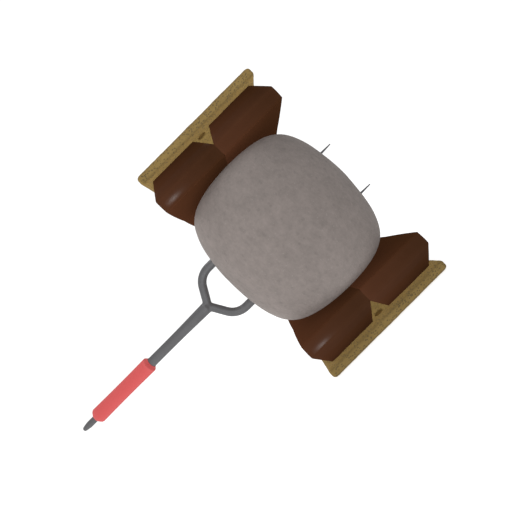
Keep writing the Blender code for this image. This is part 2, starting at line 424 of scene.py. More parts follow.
def move_points(steps, geometry, position, selection=True):
    """Put the selected points at a position."""
    inputs = {"Geometry": geometry, "Selection": selection, "Position": position}
    return steps.take("GeometryNodeSetPosition", inputs)


def push_points(steps, geometry, offset):
    """Shift every point by an offset."""
    return steps.take("GeometryNodeSetPosition", {"Geometry": geometry, "Offset": offset})


def joined_points(steps, geometry):
    """Make one point of points that lie on each other."""
    return steps.take("GeometryNodeMergeByDistance", {"Geometry": geometry, "Distance": JOIN_DISTANCE})


def open_edges(steps):
    """True on each edge that has a face on one side only."""
    faces = steps.take("GeometryNodeInputMeshEdgeNeighbors")
    lonely = steps.number("COMPARE", faces, 1.0, 0.5)
    return steps.take("GeometryNodeFieldOnDomain", {"Value": lonely}, data_type="BOOLEAN", domain="EDGE")


# Pieces


def add_piece(name, mesh, nodes):
    """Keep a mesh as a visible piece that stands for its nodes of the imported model."""
    mesh.name = name
    piece = bpy.data.objects.new(name, mesh)
    bpy.context.scene.collection.objects.link(piece)
    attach(piece, "root")
    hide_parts(*nodes)
    return piece


def mesh_from_shape(name, shape, material):
    """Turn a bmesh into a smooth mesh with a material."""
    bmesh.ops.recalc_face_normals(shape, faces=shape.faces)
    mesh = bpy.data.meshes.new(name)
    shape.to_mesh(mesh)
    shape.free()
    mesh.shade_smooth()
    mesh.materials.append(material)
    return mesh


# Crackers

CRACKER_SIZES = (
    "corner_radius",
    "edge_radius",
    "hole_pitch",
    "hole_radius",
    "hole_dish",
    "dish_spread",
    "relief",
)
CRACKER_LINES = 161
# The sheet is spread by a sine of this many radians, which crowds its lines towards the edges.
EDGE_CROWDING = 1.4
# The corners begin to round at this share of the half width.
CORNER_START = 0.88
WALL_STEPS = 4
BROAD_BUMPS = 7.0 * MM
FINE_BUMPS = 1.8 * MM
FINE_BUMP_SHARE = 0.8


def cracker_sheet(steps, given, here, half):
    """One face of the cracker, flat, with its lines crowded towards the edges and its holes cut."""
    grid = steps.take(
        "GeometryNodeMeshGrid",
        {"Size X": 2.0, "Size Y": 2.0, "Vertices X": CRACKER_LINES, "Vertices Y": CRACKER_LINES},
    )
    crowded = steps.vector("SINE", steps.scaled(here, EDGE_CROWDING))
    sheet = move_points(steps, grid, steps.scaled(crowded, half / math.sin(EDGE_CROWDING)))

    pitch = steps.join(given["Hole Pitch"], given["Hole Pitch"])
    halfway = steps.vector("ADD", here, steps.scaled(pitch, 0.5))
    nearest = steps.vector("SNAP", halfway, pitch)
    nearest = steps.vector("MINIMUM", nearest, pitch)
    nearest = steps.vector("MAXIMUM", nearest, steps.scaled(pitch, -1.0))
    distance = steps.vector("DISTANCE", here, nearest)

    inside = steps.number("LESS_THAN", distance, given["Hole Radius"])
    cut = steps.take("GeometryNodeDeleteGeometry", {"Geometry": sheet, "Selection": inside}, domain="FACE")
    close = steps.number("LESS_THAN", distance, given["Hole Radius"] * 2.0)
    outward = steps.vector("SUBTRACT", here, nearest)
    on_circle = steps.vector("ADD", nearest, steps.scaled(outward, given["Hole Radius"] / distance))
    round_holes = move_points(steps, cut, on_circle, close * open_edges(steps))
    return store(steps, round_holes, "hole_distance", distance - given["Hole Radius"])


def cracker_tree():
    """A square slab with round corners, nine docking holes and the slight bumps of baking."""
    steps, given = geometry_tree("docked_cracker", (*CRACKER_SIZES, "side", "thickness", "seed"))
    here = steps.take("GeometryNodeInputPosition")
    half = given["Side"] / 2.0
    sheet = cracker_sheet(steps, given, here, half)

    reach = steps.vector("ABSOLUTE", here)
    reach_x, reach_y, _ = steps.split(reach)
    ring = steps.number("MAXIMUM", reach_x, reach_y) / half
    rim = (1.0 - ring) * half
    sheet = store(steps, sheet, "rim_distance", rim)

    # Each ring of points near the edge becomes a square with round corners.
    corner = given["Corner Radius"] * steps.ramp(ring, CORNER_START, 1.0)
    straight = half * ring - corner
    straight = steps.join(straight, straight)
    past = steps.vector("MAXIMUM", steps.vector("SUBTRACT", reach, straight), (0.0, 0.0, 0.0))
    arc = steps.scaled(steps.vector("NORMALIZE", past), corner)
    placed = steps.vector("ADD", steps.vector("MINIMUM", reach, straight), arc)
    placed = steps.vector("MULTIPLY", placed, steps.vector("SIGN", here))

    # The face drops to the side wall in a quarter round, and sinks towards each hole.
    out = 1.0 - (rim / given["Edge Radius"]).held()
    rise = steps.number("SQRT", 1.0 - out * out)
    drop = (1.0 - rise) * given["Edge Radius"]
    dish = steps.bell(recall(steps, "hole_distance"), given["Dish Spread"]) * given["Hole Dish"]
    height = given["Thickness"] / 2.0 - given["Relief"] - drop - dish
    face = move_points(steps, sheet, steps.vector("ADD", placed, steps.join(z=height)))
    face = store(steps, face, "half_height", steps.split(here)[2])

    # Walls go down from every open edge, and meet the same face turned over.
    fall = steps.join(z=recall(steps, "half_height") * (-2.0 / WALL_STEPS))
    walls = face
    rim_edges = open_edges(steps)
    for _ in range(WALL_STEPS):
        inputs = {"Mesh": walls, "Selection": rim_edges, "Offset": fall}
        wall = steps.add("GeometryNodeExtrudeMesh", inputs, mode="EDGES")
        walls = wall.outputs["Mesh"]
        rim_edges = wall.outputs["Top"]
    underside = steps.take("GeometryNodeTransform", {"Geometry": face, "Scale": (1.0, 1.0, -1.0)})
    both = steps.add("GeometryNodeJoinGeometry")
    for part in (walls, underside):
        steps.feed(both.inputs["Geometry"], part)
    slab = joined_points(steps, both.outputs["Geometry"])

    broad = steps.noise(here, BROAD_BUMPS, seed=given["Seed"])
    fine = steps.noise(here, FINE_BUMPS, seed=given["Seed"], detail=3.0)
    slab = store(steps, slab, "bumps", broad + fine * FINE_BUMP_SHARE)
    lift = recall(steps, "bumps") * given["Relief"] * NOISE_FILL
    slab = push_points(steps, slab, steps.scaled(steps.take("GeometryNodeInputNormal"), lift))
    return end_geometry_tree(steps, slab, given)


# Marshmallow

MARSHMALLOW_SIZES = ("end_power", "side_power", "lumps", "puckers", "drag", "drag_spread")
MARSHMALLOW_SIDES = 256
MARSHMALLOW_RINGS = 160
# A power below 1 leaves fewer rings on the flat ends and more on the shoulders.
RING_BUNCHING = 0.7
LUMP_SIZE = 16.0 * MM
PUCKER_SIZE = 4.0 * MM
# The share of the half height from which the skin is pressed smooth.
PRESSED_FROM = 0.9


def marshmallow_tree():
    """A plump drum with flat ends, its skin lumpy, puckered and dragged along by the prongs."""
    numbers = (*MARSHMALLOW_SIZES, "radius", "half_height", "prong_height", "seed")
    steps, given = geometry_tree("plump_marshmallow", numbers)
    here = steps.take("GeometryNodeInputPosition")
    counts = {"Vertices X": MARSHMALLOW_SIDES + 1, "Vertices Y": MARSHMALLOW_RINGS + 1}
    grid = steps.take("GeometryNodeMeshGrid", {"Size X": 1.0, "Size Y": 1.0, **counts})
    along, up, _ = steps.split(here)
    turn = along * math.tau
    rise = up * math.pi
    level = steps.number("MAXIMUM", steps.number("COSINE", rise), 0.0)
    width = level**RING_BUNCHING
    left_over = steps.number("MAXIMUM", 1.0 - width ** given["Side Power"], 0.0)
    height = left_over ** (1.0 / given["End Power"]) * steps.number("SIGN", rise)
    radius = width * given["Radius"]
    x = radius * steps.number("COSINE", turn)
    y = radius * steps.number("SINE", turn)
    drum = move_points(steps, grid, steps.join(x, y, height * given["Half Height"]))
    drum = joined_points(steps, drum)

    # Lumps and puckers fade out where the flat ends are pressed against the chocolate.
    _, y, z = steps.split(here)
    free = steps.ramp(abs(z / given["Half Height"]), PRESSED_FROM, 1.0, 1.0, 0.0, smooth=True)
    lumps = steps.noise(here, LUMP_SIZE, detail=1.0, seed=given["Seed"])
    puckers = steps.noise(here, PUCKER_SIZE, detail=3.0, seed=given["Seed"], roughness=0.6)
    drum = store(steps, drum, "puckers", puckers)
    lift = lumps * given["Lumps"] + recall(steps, "puckers") * given["Puckers"]
    normal = steps.take("GeometryNodeInputNormal")
    drum = push_points(steps, drum, steps.scaled(normal, lift * free * NOISE_FILL))

    # Each prong pulls the skin inwards where it goes in, and pushes it out where it comes out.
    from_prong = steps.vector("LENGTH", steps.join(y, abs(z) - given["Prong Height"]))
    drum = store(steps, drum, "pierced", steps.bell(from_prong, given["Drag Spread"]))
    drum = push_points(steps, drum, steps.join(recall(steps, "pierced") * given["Drag"]))
    return end_geometry_tree(steps, drum, given)


# Soft lines, used for the chocolate and for turned pieces

CORNER_POINTS = 5
EDGE_FADE = 0.7 * MM


def soft_line(corners, step):
    """Points (x, y, edge) along a line through corners (x, y, radius, swell).

    Each inner corner is rounded over its radius. swell is how far the stretch after a corner stands out
    to its left halfway along. edge is 1 on the rounded corners and fades to 0 along the stretches.
    """
    spots = [Vector(corner[:2]) for corner in corners]
    starts, ends = [], []
    for index, (spot, corner) in enumerate(zip(spots, corners)):
        if index in (0, len(spots) - 1):
            starts.append(spot)
            ends.append(spot)
            continue
        starts.append(spot + (spots[index - 1] - spot).normalized() * corner[2])
        ends.append(spot + (spots[index + 1] - spot).normalized() * corner[2])
    points = [(*spots[0], 0.0)]
    for index in range(1, len(spots)):
        start, end = ends[index - 1], starts[index]
        run = end - start
        left = Vector((-run.y, run.x)).normalized()
        swell = corners[index - 1][3]
        count = max(2, round(run.length / step))
        for part in range(1, count + 1):
            t = part / count
            spot = start + run * t + left * (4 * swell * t * (1 - t))
            from_start = t if index > 1 else 1.0
            to_end = 1 - t if index < len(spots) - 1 else 1.0
            to_corner = run.length * min(from_start, to_end)
            points.append((*spot, math.exp(-to_corner / EDGE_FADE)))
        if index == len(spots) - 1:
            break
        for part in range(1, CORNER_POINTS + 1):
            t = part / CORNER_POINTS
            spot = (1 - t) ** 2 * end + 2 * t * (1 - t) * spots[index] + t**2 * ends[index]
            points.append((*spot, 1.0))
    return points


def skin_rings(shape, rings, closed_loop=False):
    """Join rings of points with faces. A ring of one point closes the skin at its tip."""
    following = rings[1:] + rings[:1] if closed_loop else rings[1:]
    for ring, after in zip(rings, following):
        count = max(len(ring), len(after))
        for index in range(count):
            turned = (index + 1) % count
            corners = [ring[index % len(ring)], ring[turned % len(ring)]]
            corners += [after[turned % len(after)], after[index % len(after)]]
            corners = list(dict.fromkeys(corners))
            shape.faces.new(corners)


def keep_numbers(mesh, name, values):
    """Keep a number for each point, for the material."""
    attribute = mesh.attributes.new(name, "FLOAT", "POINT")
    attribute.data.foreach_set("value", values)


# Chocolate

SIDE_POINTS = 16
SQUARE_STEP = 1.1 * MM
WAVE_SIZE = 14.0 * MM
TINY = 0.001 * MM


def square_outline(reach, corner, bow):
    """Points (x, y, edge) round a square with soft corners whose sides bow outwards."""
    corner = min(corner, reach)
    straight = reach - corner
    points = []
    for quarter in range(4):
        turn = Matrix.Rotation(quarter * math.pi / 2, 2)
        for part in range(SIDE_POINTS):
            t = 2 * part / SIDE_POINTS - 1
            spot = turn @ Vector((reach + bow * (1 - t * t), straight * t))
            to_corner = straight * (1 - abs(t))
            points.append((*spot, math.exp(-to_corner / EDGE_FADE)))
        for part in range(CORNER_POINTS):
            bend = math.pi / 2 * part / CORNER_POINTS
            spot = Vector((straight, straight)) + corner * Vector((math.cos(bend), math.sin(bend)))
            points.append((*(turn @ spot), 1.0))
    return points


def chocolate_mesh(node, look, material):
    """One moulded square with its base towards the marshmallow and its smaller top at the cracker."""
    low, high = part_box(node)
    centre = (low + high) / 2
    half = (high.x - low.x + WORKING_GAP) / 2 + look.press
    upwards = 1 if centre.z > STACK_CENTRE.z else -1
    base_z = low.z if upwards > 0 else high.z
    height = high.z - low.z
    top_half = half - look.slope_inset
    profile = soft_line(
        (
            (0.0, height, 0.0, 0.0),
            (top_half, height, look.edge_radius, look.wall_swell / 2),
            (half, look.wall_height, look.crease_radius, look.wall_swell),
            (half - look.base_tuck, 0.0, look.edge_radius, 0.0),
            (0.0, 0.0, 0.0, 0.0),
        ),
        SQUARE_STEP,
    )
    shape = bmesh.new()
    # moulded is 0 on the flat base and 1 above it. The last list falls from 1 at the handle's side to 0.
    # That last share is painted light: each square is paler at its handle's end and darker at its far end.
    rings, edges, moulded, warmed = [], [], [], []
    for reach, rise, profile_edge in profile:
        z = base_z + upwards * rise
        if reach < TINY:
            rings.append([shape.verts.new((centre.x, centre.y, z))])
            edges.append(0.0)
            moulded.append(0.0)
            warmed.append(0.5)
            continue
        outline = square_outline(reach, look.corner_radius, look.side_bow * reach / half)
        ring = []
        for x, y, corner_edge in outline:
            ring.append(shape.verts.new((centre.x + x, centre.y + y, z)))
            on_side = 0.0 < rise < height - TINY
            edges.append(max(profile_edge, corner_edge if on_side else 0.0))
            moulded.append(1.0 if rise > look.edge_radius else 0.0)
            warmed.append(0.5 - 0.5 * x / half)
        rings.append(ring)
    skin_rings(shape, rings)
    for vertex in shape.verts:
        wave = noise.noise_vector(vertex.co / WAVE_SIZE) * look.relief
        inward = (centre - vertex.co).normalized()
        vertex.co += wave + inward * look.relief
    mesh = mesh_from_shape(node, shape, material)
    keep_numbers(mesh, "edge", edges)
    keep_numbers(mesh, "moulded", moulded)
    keep_numbers(mesh, "warmed", warmed)
    return mesh


# Fork

WIRE_SIDES = 32
WIRE_STEP = 0.5 * MM
BEND_STEPS = 16
VOXEL = 0.28 * MM
BLUNT_TIP = 0.6 * MM
# Distances in from the end of the butt, with the shares of its tip's radius there.
BUTT_ROUND = ((0.0, 0.55), (0.35 * MM, 0.9), (0.8 * MM, 1.0))
BUTT_TAPER = 3.6 * MM
# How far inside the sleeve's rear end the rod begins and stops growing thicker.
STEP_START = 2.1 * MM
STEP_END = 2.7 * MM
# How far the neck runs on into the yoke, how late it thickens and how long its rounded end is.
NECK_OVERLAP = 0.8 * MM
NECK_CURVE = 1.6
NECK_END = 2.4 * MM
# The ball round the weld that is worked smooth shrinks by this share over the rounds.
WELD_AHEAD = 3.0 * MM
WELD_REACH = 6.5 * MM
WELD_SHRINK = 0.6
WELD_ROUNDS = 14


def heading_vector(heading):
    """One metre along a heading in the XZ plane."""
    return Vector((math.cos(heading), 0.0, math.sin(heading)))


def prong_corners(look, up):
    """Points (spot, radius) of one prong from the yoke to its point. up is 1 or -1."""
    tip_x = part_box("fork")[1].x - STACK_CENTRE.x
    here = Vector((look.yoke_x, 0.0, 0.0))
    heading = 0.0
    line = [(here.copy(), look.root_radius)]
    bends = ((look.inner_bend, look.yoke_angle), (look.outer_bend, look.splay - look.yoke_angle))
    for order, (bend_radius, amount) in enumerate(bends):
        for part in range(1, BEND_STEPS + 1):
            turn = amount / BEND_STEPS
            chord = 2 * bend_radius * math.sin(abs(turn) / 2)
            here += chord * heading_vector(heading + turn / 2)
            heading += turn
            grown = part / BEND_STEPS if order else 0.0
            radius = look.root_radius + (look.prong_radius - look.root_radius) * grown
            line.append((here.copy(), radius))
        if order == 0:
            here += look.yoke_straight * heading_vector(heading)
            line.append((here.copy(), look.root_radius))
    for end_x, radius in ((tip_x - look.taper_length, look.prong_radius), (tip_x, look.tip_radius)):
        here += (end_x - here.x) / math.cos(heading) * heading_vector(heading)
        line.append((here.copy(), radius))
    return [(STACK_CENTRE + Vector((spot.x, 0.0, up * spot.z)), radius) for spot, radius in line]


def rod_corners(look):
    """Points (spot, radius) of the straight rod from its butt to the yoke."""
    butt_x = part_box("fork")[0].x - look.butt_reach - STACK_CENTRE.x
    sleeve_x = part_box("handle")[0].x + look.sleeve_shift - STACK_CENTRE.x
    line = [(butt_x + inwards, look.butt_tip_radius * width) for inwards, width in BUTT_ROUND]
    line.append((butt_x + BUTT_TAPER, look.butt_radius))
    line.append((sleeve_x + STEP_START, look.butt_radius))
    line.append((sleeve_x + STEP_END, look.rod_radius))
    neck_x = look.yoke_x + NECK_OVERLAP
    for part in range(BEND_STEPS + 1):
        t = part / BEND_STEPS
        radius = look.rod_radius + (look.neck_radius - look.rod_radius) * t**NECK_CURVE
        line.append((neck_x - look.neck_length * (1 - t), radius))
    for part in range(1, BEND_STEPS):
        bend = math.pi / 2 * part / BEND_STEPS
        line.append((neck_x + NECK_END * math.sin(bend), look.neck_radius * math.cos(bend)))
    return [(STACK_CENTRE + Vector((x, 0.0, 0.0)), radius) for x, radius in line]


def fine_line(corners):
    """The same line cut into short steps."""
    line = [corners[0]]
    for (start, start_radius), (end, end_radius) in zip(corners, corners[1:]):
        count = max(1, round((end - start).length / WIRE_STEP))
        for part in range(1, count + 1):
            t = part / count
            line.append((start.lerp(end, t), start_radius + (end_radius - start_radius) * t))
    return line


def add_wire(shape, line):
    """A closed round bar along a line in the XZ plane, never thinner than the blunt tip."""
    rings = []
    for index, (spot, radius) in enumerate(line):
        before = line[max(index - 1, 0)][0]
        after = line[min(index + 1, len(line) - 1)][0]
        heading = (after - before).normalized()
        across = Vector((-heading.z, 0.0, heading.x))
        ring = []
        for side in range(WIRE_SIDES):
            turn = math.tau * side / WIRE_SIDES
            offset = across * math.cos(turn) + Vector((0.0, 1.0, 0.0)) * math.sin(turn)
            ring.append(shape.verts.new(spot + offset * max(radius, BLUNT_TIP)))
        rings.append(ring)
    skin_rings(shape, rings)
    shape.faces.new(reversed(rings[0]))
    shape.faces.new(rings[-1])


def remeshed(shape, voxel):
    """Fuse overlapping closed skins into one even skin."""
    bmesh.ops.recalc_face_normals(shape, faces=shape.faces)
    mesh = bpy.data.meshes.new("fused")
    shape.to_mesh(mesh)
    shape.free()
    carrier = bpy.data.objects.new("fused", mesh)
    bpy.context.scene.collection.objects.link(carrier)
    fuse = carrier.modifiers.new("fuse", "REMESH")
    fuse.mode = "VOXEL"
    fuse.voxel_size = voxel
    depsgraph = bpy.context.evaluated_depsgraph_get()
    fused = bmesh.new()
    fused.from_mesh(carrier.evaluated_get(depsgraph).to_mesh())
    bpy.data.objects.remove(carrier)
    bpy.data.meshes.remove(mesh)
    return fused


def smooth_points(shape, points):
    """Draw each point halfway towards its neighbours."""
    every_way = {"use_axis_x": True, "use_axis_y": True, "use_axis_z": True}
    bmesh.ops.smooth_vert(shape, verts=points, factor=0.5, **every_way)


def draw_out_point(shape, line, look):
    """Thin the blunt end of a prong down to the radii that its line gives."""
    tree = KDTree(len(line))
    for index, (spot, _) in enumerate(line):
        tree.insert(spot, index)
    tree.balance()
    tip, _ = line[-1]
    for vertex in shape.verts:
        if vertex.co.x < tip.x - look.taper_length:
            continue
        spot, index, distance = tree.find(vertex.co)
        if distance > 2 * look.prong_radius:
            continue
        radius = line[index][1]
        on_axis = Vector((vertex.co.x, spot.y, spot.z))
        vertex.co = on_axis + (vertex.co - on_axis) * min(1.0, radius / max(radius, BLUNT_TIP))


def fork_mesh(look, material):
    """The rod and its two prongs fused into one piece, with a smooth weld and drawn points."""
    prongs = [fine_line(prong_corners(look, up)) for up in (1, -1)]
    shape = bmesh.new()
    for line in (fine_line(rod_corners(look)), *prongs):
        add_wire(shape, line)
    shape = remeshed(shape, VOXEL)

    # The weld at the yoke is worked smooth, most of all at its middle.
    weld = STACK_CENTRE + Vector((look.yoke_x + WELD_AHEAD, 0.0, 0.0))
    for turn in range(WELD_ROUNDS):
        reach = WELD_REACH * (1 - WELD_SHRINK * turn / WELD_ROUNDS)
        smooth_points(shape, [vertex for vertex in shape.verts if (vertex.co - weld).length < reach])
    smooth_points(shape, shape.verts)
    for line in prongs:
        draw_out_point(shape, line, look)
    return mesh_from_shape("fork", shape, material)


# Sleeve

SLEEVE_SIDES = 96
SLEEVE_STEP = 1.5 * MM
# How thick the cap behind the bore is, which lets only the thinner butt through.
SLEEVE_CAP = 1.8 * MM


def sleeve_mesh(look, material):
    """The red sleeve, turned with softly bevelled ends, round a bore that grips the rod."""
    low, high = (corner + Vector((look.sleeve_shift, 0.0, 0.0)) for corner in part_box("handle"))
    centre = (low + high) / 2
    end_radius = (high.z - low.z) / 2 + look.sleeve_swell
    bevel, edge_round = look.sleeve_chamfer, look.sleeve_round
    corners = (
        (high.x, look.rod_radius, 0.0, 0.0),
        (high.x, end_radius - bevel, edge_round, 0.0),
        (high.x - bevel, end_radius, edge_round, look.sleeve_waist),
        (low.x + bevel, end_radius, edge_round, 0.0),
        (low.x, end_radius - bevel, edge_round, 0.0),
        (low.x, look.butt_radius, 0.0, 0.0),
    )
    inside = [(low.x + SLEEVE_CAP, radius, 0.0) for radius in (look.butt_radius, look.rod_radius)]
    shape = bmesh.new()
    rings, edges = [], []
    for x, radius, edge in soft_line(corners, SLEEVE_STEP) + inside:
        ring = []
        for side in range(SLEEVE_SIDES):
            turn = math.tau * side / SLEEVE_SIDES
            offset = Vector((0.0, math.cos(turn), math.sin(turn))) * radius
            ring.append(shape.verts.new(Vector((x, centre.y, centre.z)) + offset))
            edges.append(edge)
        rings.append(ring)
    skin_rings(shape, rings, closed_loop=True)
    mesh = mesh_from_shape("handle", shape, material)
    keep_numbers(mesh, "edge", edges)
    return mesh


# Effects that several materials use


def cloudy_tone(steps, here, blotch_size, grain_size, grain_share):
    """Soft blotches with a finer grain over them, from 0 to 1."""
    parts = []
    for size, detail in ((blotch_size, 2.0), (grain_size, 4.0)):
        inputs = {"Vector": here, "Scale": 1.0 / size, "Detail": detail, "Roughness": 0.6}
        parts.append(steps.ramp(steps.take("ShaderNodeTexNoise", inputs), 0.28, 0.72))
    return steps.mix(grain_share, *parts, kind="FLOAT")


def scattered_specks(steps, here, spacing, speck_size, kept_share):
    """Scattered specks of uneven size: 1 inside a speck and 0 around it."""
    cells = steps.add("ShaderNodeTexVoronoi", {"Vector": here, "Scale": 1.0 / spacing})
    pick, own_size, _ = steps.split(cells.outputs["Color"])
    # The distance is counted in spacings, and each speck takes a size of its own.
    size = speck_size / spacing * steps.ramp(own_size, 0.0, 1.0, 0.5, 1.0)
    inside = steps.ramp(cells.outputs["Distance"], size * 0.6, size, 1.0, 0.0)
    return inside * steps.number("LESS_THAN", pick, kept_share)


def surface_grain(steps, here, coarse_size, fine_size):
    """Fine relief made of two sizes of grain, as a height from 0 to 1."""
    coarse, fine = (
        steps.take("ShaderNodeTexNoise", {"Vector": here, "Scale": 1.0 / size, "Detail": 3.0})
        for size in (coarse_size, fine_size)
    )
    return coarse * 0.65 + fine * 0.35


def effect_group(effect, names):
    """A shared effect as a shader node group, with an input for each name and one output."""
    group = bpy.data.node_groups.new(effect.__name__, "ShaderNodeTree")
    group.interface.new_socket(name="Here", in_out="INPUT", socket_type="NodeSocketVector")
    for name in names:
        group.interface.new_socket(name=label_of(name), in_out="INPUT", socket_type="NodeSocketFloat")
    group.interface.new_socket(name="Strength", in_out="OUTPUT", socket_type="NodeSocketFloat")
    steps = Steps(group)
    given = steps.given()
    strength = effect(steps, given["Here"], **{name: given[label_of(name)] for name in names})
    steps.add("NodeGroupOutput", {"Strength": strength})
    return group


def place(steps, effect, here, **numbers):
    """Put a shared effect into a material, with the numbers that it takes there."""
    group = bpy.data.node_groups.get(effect.__name__) or effect_group(effect, numbers)
    inputs = {label_of(name): number for name, number in numbers.items()}
    return steps.take("ShaderNodeGroup", {"Here": here, **inputs}, node_tree=group)


# Materials


def new_material(name):
    """A material, the steps of its tree, its shader and the place on the piece."""
    material = bpy.data.materials.new(name)
    material.use_nodes = True
    steps = Steps(material.node_tree)
    shader = material.node_tree.nodes["Principled BSDF"]
    return material, steps, shader, steps.take("ShaderNodeTexCoord", output="Object")


def solid(look_colour):
    """A colour with full alpha, as a socket takes it."""
    return (*look_colour, 1.0)


def kept_number(steps, name):
    """A number that was kept for each point of the mesh."""
    return steps.take("ShaderNodeAttribute", output="Fac", attribute_name=name)


def set_shader(steps, shader, base, roughness, height, depth, **plain):
    """Join the changing values to the shader and set its plain ones."""
    steps.feed(shader.inputs["Base Color"], base)
    steps.feed(shader.inputs["Roughness"], roughness)
    bump = steps.add("ShaderNodeBump", {"Strength": 1.0, "Distance": depth, "Height": height})
    steps.feed(shader.inputs["Normal"], bump.outputs["Normal"])
    for name, value in plain.items():
        shader.inputs[label_of(name)].default_value = value


def cracker_material(look):
    """Dry baked crumb: tan, browner on the bumps, partly painted shade near the rim, with bran flecks and
    pores.
    """
    material, steps, shader, here = new_material("baked_cracker")
    tone = place(steps, cloudy_tone, here, blotch_size=11.0 * MM, grain_size=1.4 * MM, grain_share=0.45)
    bumps = steps.ramp(kept_number(steps, "bumps"), -0.15, 0.25)
    rim = kept_number(steps, "rim_distance")
    # Darker towards the rim: partly bake, partly painted shade that evens out the fill light on the rounded
    # rim.
    rim_bake_and_painted_shade = steps.ramp(rim, 3.5 * MM, 7.5 * MM, 0.65, -0.05, smooth=True)
    # The side walls, at no distance from the rim, stay paler than the face above them.
    rim_bake_and_painted_shade *= steps.ramp(rim, 0.05 * MM, 0.35 * MM)
    bake = (bumps * 0.35 + tone * 0.45 + rim_bake_and_painted_shade).held()
    base = steps.mix(bake, solid(look.crumb), solid(look.toasted))
    squeezed = steps.vector("MULTIPLY", here, (1.0, 1.0, 1.5))
    flecks = place(
        steps, scattered_specks, squeezed, spacing=0.95 * MM, speck_size=0.5 * MM, kept_share=0.95
    )
    base = steps.mix(flecks * steps.ramp(tone, 0.3, 0.6, 0.7, 1.0), base, solid(look.bran))
    in_hole = steps.ramp(kept_number(steps, "hole_distance"), 0.02 * MM, 0.2 * MM, 1.0, 0.0)
    base = steps.mix(in_hole, base, solid(look.inside))
    pores = place(steps, scattered_specks, here, spacing=0.8 * MM, speck_size=0.22 * MM, kept_share=0.4)
    grain = place(steps, surface_grain, here, coarse_size=0.9 * MM, fine_size=0.3 * MM)
    roughness = steps.ramp(tone, 0.0, 1.0, 0.82, 0.92)
    set_shader(steps, shader, base, roughness, grain - pores * 0.7, 0.25 * MM, specular_ior_level=0.2)
    return material


def chocolate_material(look):
    """Milk chocolate, soft gloss, pinholes; each square has painted shading, paler towards the handle."""
    material, steps, shader, here = new_material("milk_chocolate")
    tone = place(steps, cloudy_tone, here, blotch_size=14.0 * MM, grain_size=2.5 * MM, grain_share=0.3)
    # Painted shade: each square goes from the lit brown at its handle's end to the shaded brown at its far
    # end.
    painted_shade = steps.ramp(kept_number(steps, "warmed"), 0.15, 0.95, 0.8, 0.0)
    base = steps.mix((tone * 0.2 + painted_shade).held(), solid(look.milk), solid(look.dark))
    moulded = kept_number(steps, "moulded")
    rubbed = kept_number(steps, "edge") * moulded * steps.ramp(tone, 0.2, 0.9, 0.06, 0.02)
    base = steps.mix(rubbed, base, solid(look.bloom))
    pinholes = place(steps, scattered_specks, here, spacing=4.0 * MM, speck_size=0.3 * MM, kept_share=0.3)
    grain = place(steps, surface_grain, here, coarse_size=2.2 * MM, fine_size=0.35 * MM)
    roughness = steps.ramp(tone, 0.0, 1.0, 0.45, 0.6)
    steps.feed(shader.inputs["Coat Weight"], moulded * steps.ramp(tone, 0.0, 1.0, 0.10, 0.07))
    plain = {"specular_ior_level": 0.0, "coat_roughness": 0.14}
    set_shader(steps, shader, base, roughness, grain * 0.4 - pinholes, 0.012 * MM, **plain)
    return material


def marshmallow_material(look):
    """A matt floury skin with soft blotches, fine wrinkles and specks of loose starch."""
    material, steps, shader, here = new_material("toasted_marshmallow")
    drawn = steps.vector("MULTIPLY", here, (1.0, 1.0, 0.85))
    tone = place(steps, cloudy_tone, drawn, blotch_size=3.2 * MM, grain_size=1.1 * MM, grain_share=0.5)
    broad = place(steps, cloudy_tone, here, blotch_size=11.0 * MM, grain_size=5.0 * MM, grain_share=0.4)
    scorched = place(
        steps, scattered_specks, drawn, spacing=2.4 * MM, speck_size=1.1 * MM, kept_share=0.5
    )
    # Painted shade: the skin is darker in the hollows of the puckers.
    puckers = steps.ramp(kept_number(steps, "puckers"), -0.2, 0.2, 0.2, 0.0)
    shade = (broad * 0.3 + tone * 0.6 + scorched * 0.2 + puckers - 0.1).held()
    base = steps.mix(shade, solid(look.skin), solid(look.shade))
    starch = place(steps, scattered_specks, here, spacing=1.1 * MM, speck_size=0.3 * MM, kept_share=0.35)
    base = steps.mix(starch * 0.35, base, solid(look.flour))
    grain = place(steps, surface_grain, here, coarse_size=1.6 * MM, fine_size=0.4 * MM)
    roughness = steps.ramp(tone, 0.0, 1.0, 0.85, 0.95)
    plain = {"specular_ior_level": 0.2, "sheen_weight": 0.05}
    set_shader(steps, shader, base, roughness, grain, 0.22 * MM, **plain)
    return material


def steel_material(look):
    """Dull drawn steel: fine lines along the bar, smudges and darker handled patches."""
    material, steps, shader, here = new_material("fork_steel")
    tone = place(steps, cloudy_tone, here, blotch_size=9.0 * MM, grain_size=1.2 * MM, grain_share=0.3)
    base = steps.mix(tone * 0.6, solid(look.steel), solid(look.tarnish))
    along_bar = steps.vector("MULTIPLY", here, (0.04, 1.0, 1.0))
    lines = place(steps, surface_grain, along_bar, coarse_size=0.5 * MM, fine_size=0.15 * MM)
    roughness = steps.ramp(tone, 0.0, 1.0, 0.38, 0.52)
    set_shader(steps, shader, base, roughness, lines, 0.03 * MM, metallic=0.75)
    return material


def sleeve_material(look):
    """Satin red plastic with a fine moulded grain, rubbed paler at its ends."""
    material, steps, shader, here = new_material("red_sleeve")
    tone = place(steps, cloudy_tone, here, blotch_size=8.0 * MM, grain_size=0.8 * MM, grain_share=0.5)
    rubbed = kept_number(steps, "edge") * 0.2 + tone * 0.15
    base = steps.mix(rubbed, solid(look.red), solid(look.worn_red))
    grain = place(steps, surface_grain, here, coarse_size=0.7 * MM, fine_size=0.25 * MM)
    roughness = steps.ramp(tone, 0.0, 1.0, 0.42, 0.55)
    set_shader(steps, shader, base, roughness, grain, 0.05 * MM, specular_ior_level=0.3)
    return material


# Stage

